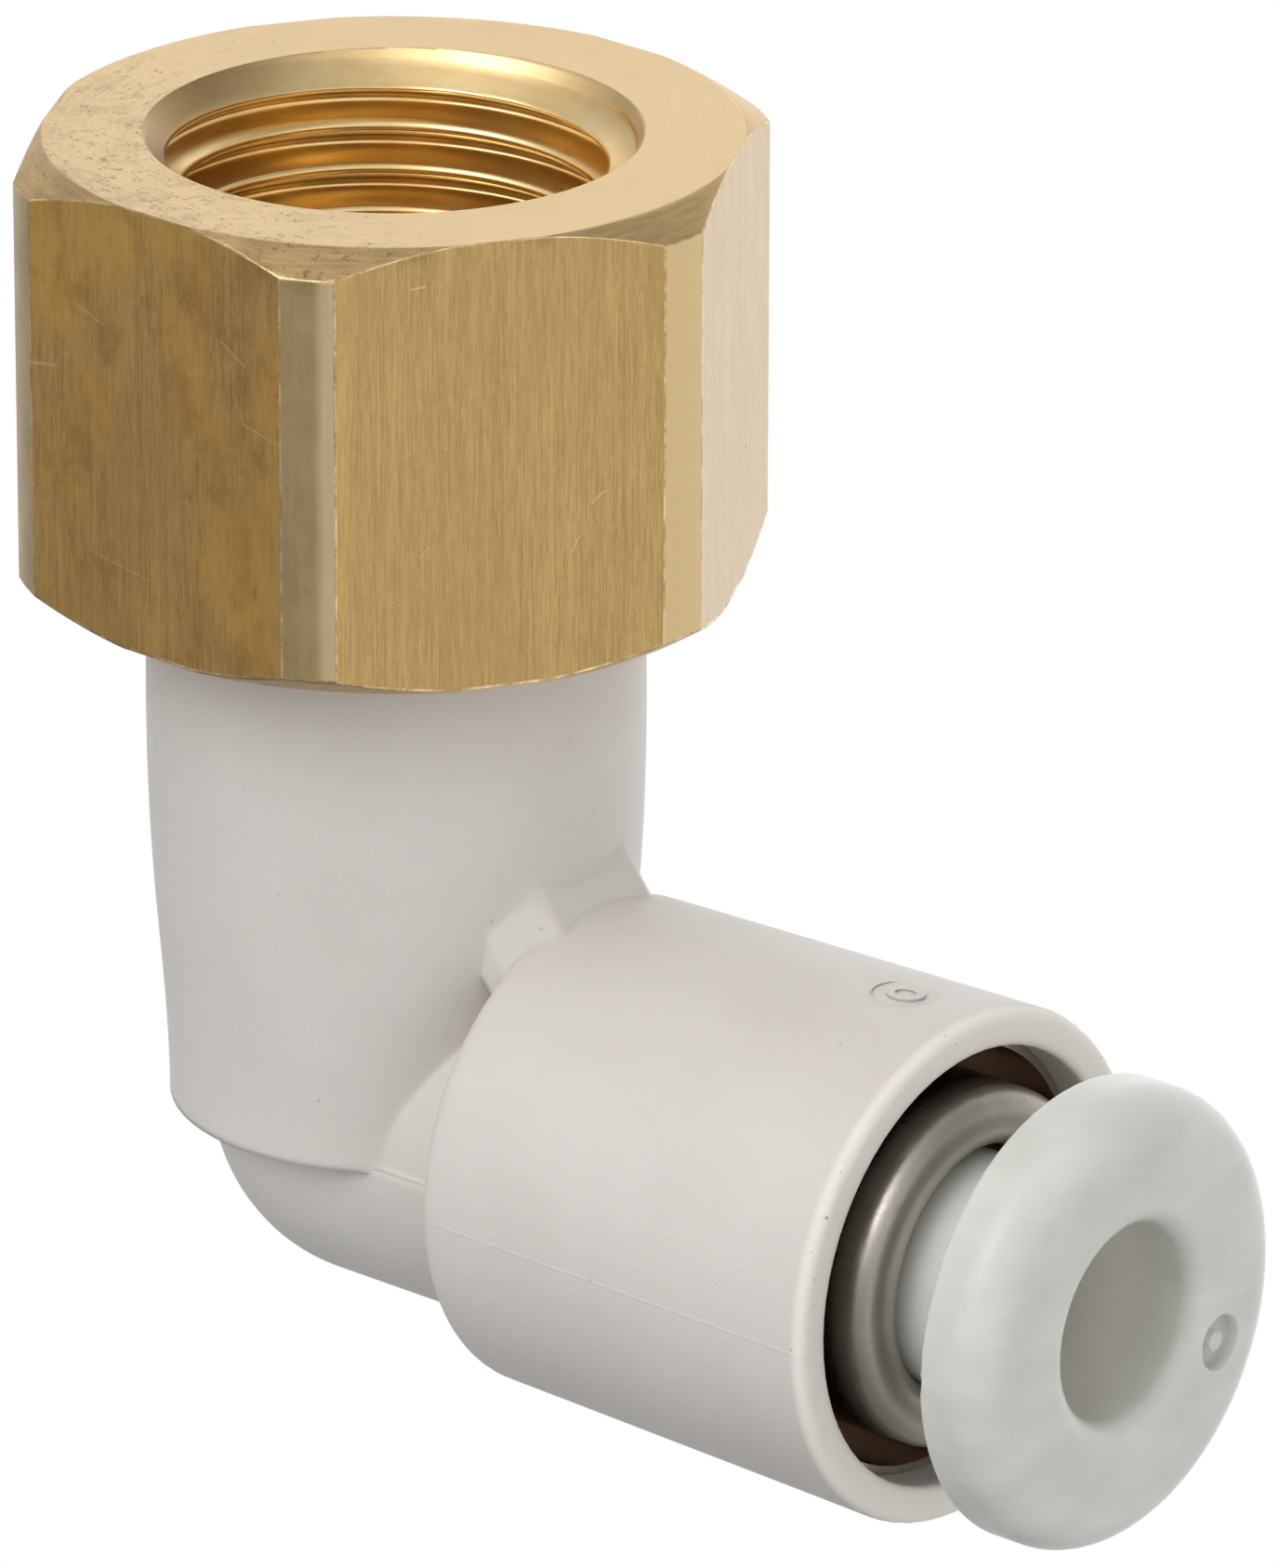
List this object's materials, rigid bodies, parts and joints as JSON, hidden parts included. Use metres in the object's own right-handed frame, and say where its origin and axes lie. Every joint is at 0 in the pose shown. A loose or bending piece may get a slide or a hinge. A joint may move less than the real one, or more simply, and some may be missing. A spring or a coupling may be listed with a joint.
{
  "type": "push to connect fitting",
  "caption": "Swivelling elbow that joins a small pneumatic tube, pushed in and released by a button, to a female pipe thread in a brass hexagon.",
  "frame": {"origin": "on the threaded port's axis, where its first full thread starts, 0.70 mm inside the port face", "axes": "+Z out of the threaded port, +X along the arm, out of the tube port"},
  "size_m": [0.0271, 0.0142, 0.0259],
  "materials": {
    "brass": "drawn flats with a fine lengthwise grain, turned end faces",
    "rubber": "black nitrile rubber",
    "body_plastic": "warm light grey, fine moulded texture",
    "collet_plastic": "natural acetal",
    "spring_steel": "stainless sheet",
    "satin_steel": "satin rolled stainless sheet",
    "button_plastic": "smooth pale grey acetal"
  },
  "bodies": {
    "adapter": {"hex_adapter": "brass", "stem_o_ring": "rubber"},
    "elbow": {"elbow_body": "body_plastic", "tube_seal": "rubber", "collet": "collet_plastic", "chuck": "spring_steel", "guide": "satin_steel"},
    "button": {"release_button": "button_plastic"}
  },
  "joints": [
    {"name": "swivel", "type": "hinge", "parent": "adapter", "child": "elbow", "pos_m": [0, 0, -0.01281], "axis": [0, 0, 1], "continuous": true},
    {"name": "release_press", "type": "slide", "parent": "elbow", "child": "button", "axis": [-1, 0, 0], "range_m": [0, 0.0015], "stiffness_N_per_m": 1500, "deforming": ["chuck"]}
  ]
}
